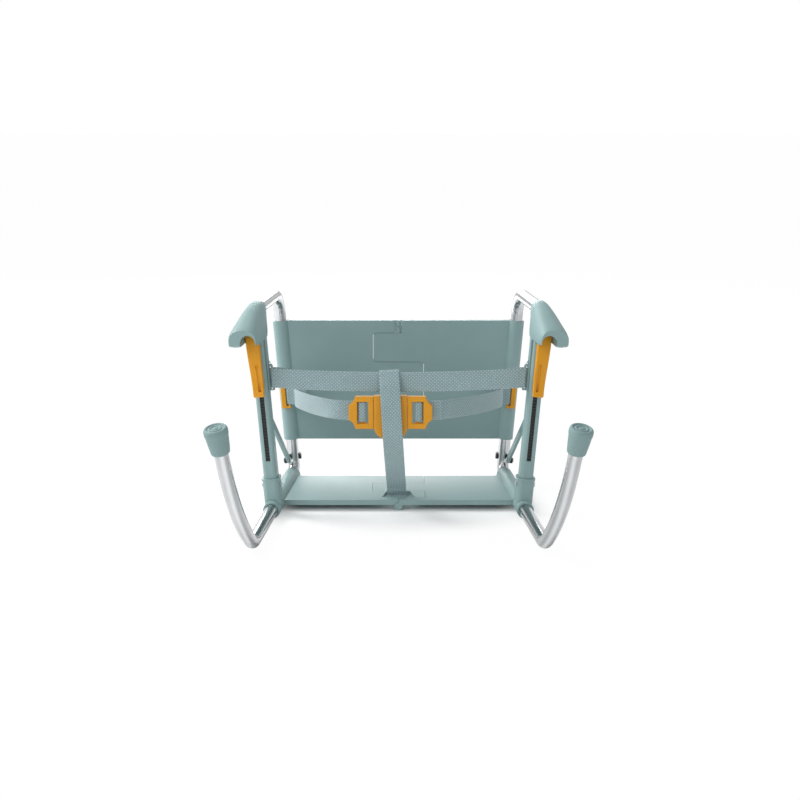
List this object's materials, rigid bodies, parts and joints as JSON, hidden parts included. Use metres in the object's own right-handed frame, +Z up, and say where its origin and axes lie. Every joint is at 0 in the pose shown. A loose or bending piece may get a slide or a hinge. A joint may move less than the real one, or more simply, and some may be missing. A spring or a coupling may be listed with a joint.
{
  "type": "hook on table chair",
  "caption": "Folding child's seat that clamps to a table edge: bent tube side frames, hinged seat and backrest panels, ratchet legs with hook arms, and a belt harness",
  "frame": {"origin": "on the floor below the middle of the chair's bounding box", "axes": "+X across the seat towards the sitter's left hand, +Y from the table edge towards the backrest, +Z up"},
  "size_m": [0.4878, 0.4636, 0.3167],
  "materials": {
    "tube": "polished, bent 19 mm tube",
    "shell": "fine satin grain, grey teal",
    "rubber": "matt, grey teal",
    "orange": "semi-gloss orange",
    "black": "satin black",
    "steel": "plain bright steel",
    "webbing": "woven polyester webbing, grey teal"
  },
  "bodies": {
    "side_frame_left": {"frame_tube_left": "tube", "arm_head_left": "shell", "table_pad_left": "rubber", "lever_pin_left": "steel", "strap_bracket_left": "shell", "guard_strap": "webbing", "waist_belt_left": "webbing", "waist_belt_right": "webbing", "buckle_body": "orange", "buckle_tab_left": "orange", "buckle_tab_right": "orange"},
    "clamp_leg_left": {"post_left": "shell", "rack_left": "black", "base_fitting_left": "shell", "fitting_pin_left": "steel", "hook_tube_left": "tube", "hook_cap_left": "rubber", "guide_ring_left": "black", "brace_left": "shell", "brace_top_rivet_left": "steel", "brace_foot_rivet_left": "steel"},
    "lever_left": {"release_lever_left": "orange"},
    "seat_half_left": {"seat_panel_left": "shell", "seat_hinge_pin_rear": "steel", "seat_hinge_pin_front": "steel", "crotch_strap": "webbing"},
    "seat_half_right": {"seat_panel_right": "shell"},
    "side_frame_right": {"frame_tube_right": "tube", "arm_head_right": "shell", "table_pad_right": "rubber", "lever_pin_right": "steel", "strap_bracket_right": "shell"},
    "clamp_leg_right": {"post_right": "shell", "rack_right": "black", "base_fitting_right": "shell", "fitting_pin_right": "steel", "hook_tube_right": "tube", "hook_cap_right": "rubber", "guide_ring_right": "black", "brace_right": "shell", "brace_top_rivet_right": "steel", "brace_foot_rivet_right": "steel"},
    "lever_right": {"release_lever_right": "orange"},
    "back_half_left": {"back_panel_left": "shell", "back_hinge_pin_upper": "steel", "back_hinge_pin_lower": "steel", "belt_anchor_left": "orange"},
    "back_half_right": {"back_panel_right": "shell", "belt_anchor_right": "orange"}
  },
  "joints": [
    {"name": "seat_fold", "type": "hinge", "parent": "side_frame_left", "child": "seat_half_left", "pos_m": [-0.169, 0.21785, 0.0125], "axis": [-0.0837, -0.9965, 0], "range_deg": [0, 64], "deforming": ["guard_strap", "waist_belt_left", "waist_belt_right", "crotch_strap", "buckle_body", "buckle_tab_left", "buckle_tab_right"]},
    {"name": "seat_crease", "type": "hinge", "parent": "seat_half_left", "child": "seat_half_right", "pos_m": [0, 0.10265, 0.0065], "axis": [0, -1, 0], "range_deg": [-126, 0]},
    {"name": "frame_fold", "type": "hinge", "parent": "seat_half_right", "child": "side_frame_right", "pos_m": [0.169, 0.21785, 0.0125], "axis": [0.0837, -0.9965, 0], "range_deg": [0, 64]},
    {"name": "back_fold_left", "type": "hinge", "parent": "side_frame_left", "child": "back_half_left", "pos_m": [-0.169, 0.21785, 0.0125], "axis": [-0.0735, 0.0062, 0.9973], "range_deg": [0, 58]},
    {"name": "back_fold_right", "type": "hinge", "parent": "side_frame_right", "child": "back_half_right", "pos_m": [0.169, 0.21785, 0.0125], "axis": [0.0735, 0.0062, 0.9973], "range_deg": [-58, 0]},
    {"name": "leg_slide_left", "type": "slide", "parent": "side_frame_left", "child": "clamp_leg_left", "axis": [-0.0735, 0.0062, 0.9973], "range_m": [0, 0.023]},
    {"name": "leg_slide_right", "type": "slide", "parent": "side_frame_right", "child": "clamp_leg_right", "axis": [0.0735, 0.0062, 0.9973], "range_m": [0, 0.023]},
    {"name": "lever_turn_left", "type": "hinge", "parent": "side_frame_left", "child": "lever_left", "pos_m": [-0.2082, 0.01743, 0.27056], "axis": [-0.9938, 0.0835, -0.0738], "range_deg": [0, 12], "stiffness_Nm_per_rad": 0.3, "springref_deg": -5.73},
    {"name": "lever_turn_right", "type": "hinge", "parent": "side_frame_right", "child": "lever_right", "pos_m": [0.2082, 0.01743, 0.27056], "axis": [-0.9938, -0.0835, 0.0738], "range_deg": [0, 12], "stiffness_Nm_per_rad": 0.3, "springref_deg": -5.73}
  ],
  "couplings": [
    {"joint": "seat_crease", "follows": "seat_fold", "ratio": -1.9515},
    {"joint": "frame_fold", "follows": "seat_fold", "ratio": 0.99762},
    {"joint": "back_fold_left", "follows": "seat_fold", "ratio": 0.89703},
    {"joint": "back_fold_right", "follows": "seat_fold", "ratio": -0.90034}
  ]
}
